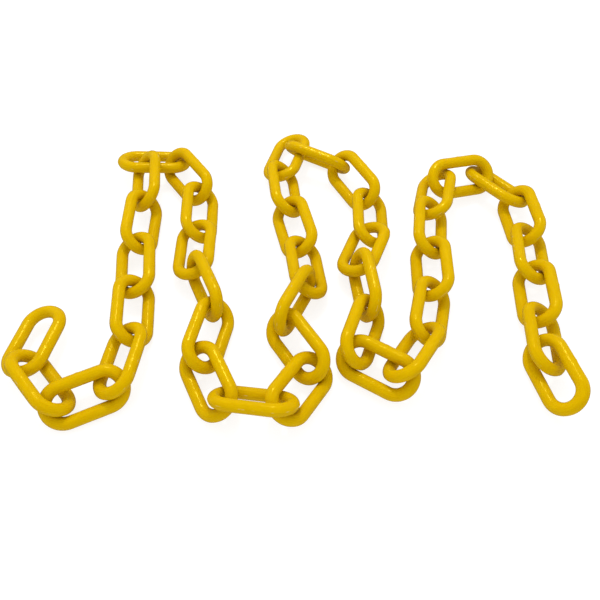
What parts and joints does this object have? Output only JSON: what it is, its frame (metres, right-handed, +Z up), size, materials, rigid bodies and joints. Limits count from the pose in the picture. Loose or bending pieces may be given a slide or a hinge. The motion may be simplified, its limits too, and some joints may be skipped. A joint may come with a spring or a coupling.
{
  "type": "plastic barrier chain",
  "caption": "Length of moulded plastic barrier chain made of plain oval links threaded through one another, strung between posts to close off an area.",
  "frame": {"origin": "middle of the laid strand's bounding box, on the floor it lies on", "axes": "+X along the row of loops, from the end that starts with link_01 towards the end with link_42; +Y across the floor; +Z up, normal to the floor"},
  "size_m": [0.3336, 0.2356, 0.0321],
  "materials": {
    "chain_plastic": "gloss"
  },
  "bodies": {
    "link_01": {"link_01": "chain_plastic"},
    "link_02": {"link_02": "chain_plastic"},
    "link_03": {"link_03": "chain_plastic"},
    "link_04": {"link_04": "chain_plastic"},
    "link_05": {"link_05": "chain_plastic"},
    "link_06": {"link_06": "chain_plastic"},
    "link_07": {"link_07": "chain_plastic"},
    "link_08": {"link_08": "chain_plastic"},
    "link_09": {"link_09": "chain_plastic"},
    "link_10": {"link_10": "chain_plastic"},
    "link_11": {"link_11": "chain_plastic"},
    "link_12": {"link_12": "chain_plastic"},
    "link_13": {"link_13": "chain_plastic"},
    "link_14": {"link_14": "chain_plastic"},
    "link_15": {"link_15": "chain_plastic"},
    "link_16": {"link_16": "chain_plastic"},
    "link_17": {"link_17": "chain_plastic"},
    "link_18": {"link_18": "chain_plastic"},
    "link_19": {"link_19": "chain_plastic"},
    "link_20": {"link_20": "chain_plastic"},
    "link_21": {"link_21": "chain_plastic"},
    "link_22": {"link_22": "chain_plastic"},
    "link_23": {"link_23": "chain_plastic"},
    "link_24": {"link_24": "chain_plastic"},
    "link_25": {"link_25": "chain_plastic"},
    "link_26": {"link_26": "chain_plastic"},
    "link_27": {"link_27": "chain_plastic"},
    "link_28": {"link_28": "chain_plastic"},
    "link_29": {"link_29": "chain_plastic"},
    "link_30": {"link_30": "chain_plastic"},
    "link_31": {"link_31": "chain_plastic"},
    "link_32": {"link_32": "chain_plastic"},
    "link_33": {"link_33": "chain_plastic"},
    "link_34": {"link_34": "chain_plastic"},
    "link_35": {"link_35": "chain_plastic"},
    "link_36": {"link_36": "chain_plastic"},
    "link_37": {"link_37": "chain_plastic"},
    "link_38": {"link_38": "chain_plastic"},
    "link_39": {"link_39": "chain_plastic"},
    "link_40": {"link_40": "chain_plastic"},
    "link_41": {"link_41": "chain_plastic"},
    "link_42": {"link_42": "chain_plastic"}
  },
  "joints": [
    {"name": "link_01_swings_on_link_02", "type": "hinge", "parent": "link_02", "child": "link_01", "pos_m": [-0.14536, -0.07605, 0.00627], "axis": [0.7717, -0.5814, -0.2578], "range_deg": [0, 80]},
    {"name": "link_02_swings_on_link_03", "type": "hinge", "parent": "link_03", "child": "link_02", "pos_m": [-0.13467, -0.1004, 0.01293], "axis": [0.4521, 0.824, 0.3415], "range_deg": [-45, 2]},
    {"name": "link_03_swings_on_link_04", "type": "hinge", "parent": "link_04", "child": "link_03", "pos_m": [-0.09469, -0.09216, 0.00858], "axis": [-0.1453, 0.859, 0.491], "range_deg": [0, 10]},
    {"name": "link_04_swings_on_link_05", "type": "hinge", "parent": "link_05", "child": "link_04", "pos_m": [-0.09326, -0.06336, 0.00937], "axis": [-0.7103, -0.2526, 0.657], "range_deg": [-15, 85]},
    {"name": "link_05_swings_on_link_06", "type": "hinge", "parent": "link_06", "child": "link_05", "pos_m": [-0.10281, -0.02766, 0.00876], "axis": [0.8288, -0.455, 0.3257], "range_deg": [-85, 4]},
    {"name": "link_06_swings_on_link_07", "type": "hinge", "parent": "link_07", "child": "link_06", "pos_m": [-0.09964, 0.00671, 0.00989], "axis": [0.657, 0.2151, -0.7226], "range_deg": [-85, 15]},
    {"name": "link_07_swings_on_link_08", "type": "hinge", "parent": "link_08", "child": "link_07", "pos_m": [-0.10002, 0.04174, 0.01462], "axis": [-0.7063, -0.0436, -0.7066], "range_deg": [-85, 85]},
    {"name": "link_08_swings_on_link_09", "type": "hinge", "parent": "link_09", "child": "link_08", "pos_m": [-0.09754, 0.07672, 0.01477], "axis": [-0.9871, -0.1037, 0.1219], "range_deg": [-85, 85]},
    {"name": "link_09_swings_on_link_10", "type": "hinge", "parent": "link_10", "child": "link_09", "pos_m": [-0.08514, 0.07824, 0.01316], "axis": [-0.9366, -0.2945, 0.1897], "range_deg": [-8, 85]},
    {"name": "link_10_swings_on_link_11", "type": "hinge", "parent": "link_11", "child": "link_10", "pos_m": [-0.06373, 0.06007, 0.01039], "axis": [0.7317, -0.0224, -0.6812], "range_deg": [-50, 75]},
    {"name": "link_11_swings_on_link_12", "type": "hinge", "parent": "link_12", "child": "link_11", "pos_m": [-0.05799, 0.01888, 0.00637], "axis": [0.5519, 0.6396, -0.5351], "range_deg": [-10, 35]},
    {"name": "link_12_swings_on_link_13", "type": "hinge", "parent": "link_13", "child": "link_12", "pos_m": [-0.06796, -0.01505, 0.01141], "axis": [-0.826, 0.461, -0.3243], "range_deg": [0, 45]},
    {"name": "link_13_swings_on_link_14", "type": "hinge", "parent": "link_14", "child": "link_13", "pos_m": [-0.04679, -0.03807, 0.01268], "axis": [-0.7288, -0.1041, 0.6768], "range_deg": [-8, 85]},
    {"name": "link_14_swings_on_link_15", "type": "hinge", "parent": "link_15", "child": "link_14", "pos_m": [-0.05195, -0.06917, 0.01292], "axis": [-0.8991, 0.1483, -0.4119], "range_deg": [-35, 45]},
    {"name": "link_15_swings_on_link_16", "type": "hinge", "parent": "link_16", "child": "link_15", "pos_m": [-0.03748, -0.09591, 0.00808], "axis": [0.8529, 0.3539, -0.3838], "range_deg": [-2, 85]},
    {"name": "link_16_swings_on_link_17", "type": "hinge", "parent": "link_17", "child": "link_16", "pos_m": [-0.00838, -0.09712, 0.01683], "axis": [-0.5202, -0.8325, 0.1908], "range_deg": [0, 85]},
    {"name": "link_17_swings_on_link_18", "type": "hinge", "parent": "link_18", "child": "link_17", "pos_m": [0.01249, -0.08648, 0.00838], "axis": [-0.7817, -0.0574, -0.621], "range_deg": [-45, 6]},
    {"name": "link_18_swings_on_link_19", "type": "hinge", "parent": "link_19", "child": "link_18", "pos_m": [-0.00407, -0.055, 0.00976], "axis": [0.3976, 0.7338, -0.5509], "range_deg": [-15, 80]},
    {"name": "link_19_swings_on_link_20", "type": "hinge", "parent": "link_20", "child": "link_19", "pos_m": [0.00805, -0.02177, 0.02357], "axis": [-0.3813, -0.6622, 0.6451], "range_deg": [-45, 0]},
    {"name": "link_20_swings_on_link_21", "type": "hinge", "parent": "link_21", "child": "link_20", "pos_m": [0.00166, 0.00431, 0.00829], "axis": [-0.8068, 0.3071, -0.5048], "range_deg": [-4, 80]},
    {"name": "link_22_swings_on_link_21", "type": "hinge", "parent": "link_21", "child": "link_22", "pos_m": [-0.00128, 0.04642, 0.0127], "axis": [0.8258, -0.1633, 0.5397], "range_deg": [0, 50]},
    {"name": "link_23_swings_on_link_22", "type": "hinge", "parent": "link_22", "child": "link_23", "pos_m": [-0.0138, 0.07317, 0.00966], "axis": [-0.7773, 0.5288, -0.3409], "range_deg": [-55, 2]},
    {"name": "link_24_swings_on_link_23", "type": "hinge", "parent": "link_23", "child": "link_24", "pos_m": [0.00724, 0.10049, 0.01261], "axis": [-0.2753, -0.9599, 0.0523], "range_deg": [-85, 85]},
    {"name": "link_25_swings_on_link_24", "type": "hinge", "parent": "link_24", "child": "link_25", "pos_m": [0.02971, 0.08464, 0.01168], "axis": [0.4913, 0.4882, 0.7213], "range_deg": [0, 65]},
    {"name": "link_26_swings_on_link_25", "type": "hinge", "parent": "link_25", "child": "link_26", "pos_m": [0.04665, 0.05375, 0.01303], "axis": [0.6459, 0.6243, -0.4394], "range_deg": [-45, 4]},
    {"name": "link_27_swings_on_link_26", "type": "hinge", "parent": "link_26", "child": "link_27", "pos_m": [0.05896, 0.02038, 0.01275], "axis": [-0.3319, 0.8797, -0.3406], "range_deg": [-2, 4]},
    {"name": "link_28_swings_on_link_27", "type": "hinge", "parent": "link_27", "child": "link_28", "pos_m": [0.04814, -0.01216, 0.01701], "axis": [-0.7038, -0.7063, -0.0766], "range_deg": [0, 45]},
    {"name": "link_29_swings_on_link_28", "type": "hinge", "parent": "link_28", "child": "link_29", "pos_m": [0.04367, -0.04331, 0.00706], "axis": [0.2883, -0.7805, 0.5548], "range_deg": [-6, 55]},
    {"name": "link_30_swings_on_link_29", "type": "hinge", "parent": "link_29", "child": "link_30", "pos_m": [0.03777, -0.07913, 0.0114], "axis": [-0.6811, -0.1994, 0.7045], "range_deg": [-30, 8]},
    {"name": "link_31_swings_on_link_30", "type": "hinge", "parent": "link_30", "child": "link_31", "pos_m": [0.05808, -0.07666, 0.01615], "axis": [-0.8469, 0.5292, -0.0523], "range_deg": [0, 85]},
    {"name": "link_32_swings_on_link_31", "type": "hinge", "parent": "link_31", "child": "link_32", "pos_m": [0.08358, -0.05601, 0.01285], "axis": [0.462, -0.5437, 0.7007], "range_deg": [-40, 15]},
    {"name": "link_33_swings_on_link_32", "type": "hinge", "parent": "link_32", "child": "link_33", "pos_m": [0.08121, -0.02995, 0.00928], "axis": [-0.5827, 0.655, -0.481], "range_deg": [-20, 30]},
    {"name": "link_34_swings_on_link_33", "type": "hinge", "parent": "link_33", "child": "link_34", "pos_m": [0.09308, 0.0094, 0.01432], "axis": [0.6602, -0.5359, 0.5263], "range_deg": [-70, 35]},
    {"name": "link_35_swings_on_link_34", "type": "hinge", "parent": "link_34", "child": "link_35", "pos_m": [0.09007, 0.03288, 0.01377], "axis": [0.7544, -0.3518, 0.5541], "range_deg": [-45, 0]},
    {"name": "link_36_swings_on_link_35", "type": "hinge", "parent": "link_35", "child": "link_36", "pos_m": [0.107, 0.05702, 0.01732], "axis": [-0.2401, -0.9631, 0.1219], "range_deg": [-85, 2]},
    {"name": "link_37_swings_on_link_36", "type": "hinge", "parent": "link_36", "child": "link_37", "pos_m": [0.12836, 0.06391, 0.00648], "axis": [-0.944, -0.3067, 0.1219], "range_deg": [-2, 80]},
    {"name": "link_38_swings_on_link_37", "type": "hinge", "parent": "link_37", "child": "link_38", "pos_m": [0.15498, 0.05428, 0.01473], "axis": [-0.6221, 0.4095, -0.6673], "range_deg": [-15, 20]},
    {"name": "link_39_swings_on_link_38", "type": "hinge", "parent": "link_38", "child": "link_39", "pos_m": [0.14903, 0.01381, 0.00818], "axis": [-0.5389, 0.6137, -0.577], "range_deg": [-35, 15]},
    {"name": "link_40_swings_on_link_39", "type": "hinge", "parent": "link_39", "child": "link_40", "pos_m": [0.15673, -0.01107, 0.01503], "axis": [-0.494, 0.6798, -0.5421], "range_deg": [-10, 25]},
    {"name": "link_41_swings_on_link_40", "type": "hinge", "parent": "link_40", "child": "link_41", "pos_m": [0.14331, -0.0424, 0.01369], "axis": [-0.6797, -0.5757, 0.4545], "range_deg": [-10, 30]},
    {"name": "link_42_swings_on_link_41", "type": "hinge", "parent": "link_41", "child": "link_42", "pos_m": [0.14412, -0.06527, 0.01252], "axis": [-0.6634, -0.0669, -0.7453], "range_deg": [-55, 85]}
  ]
}
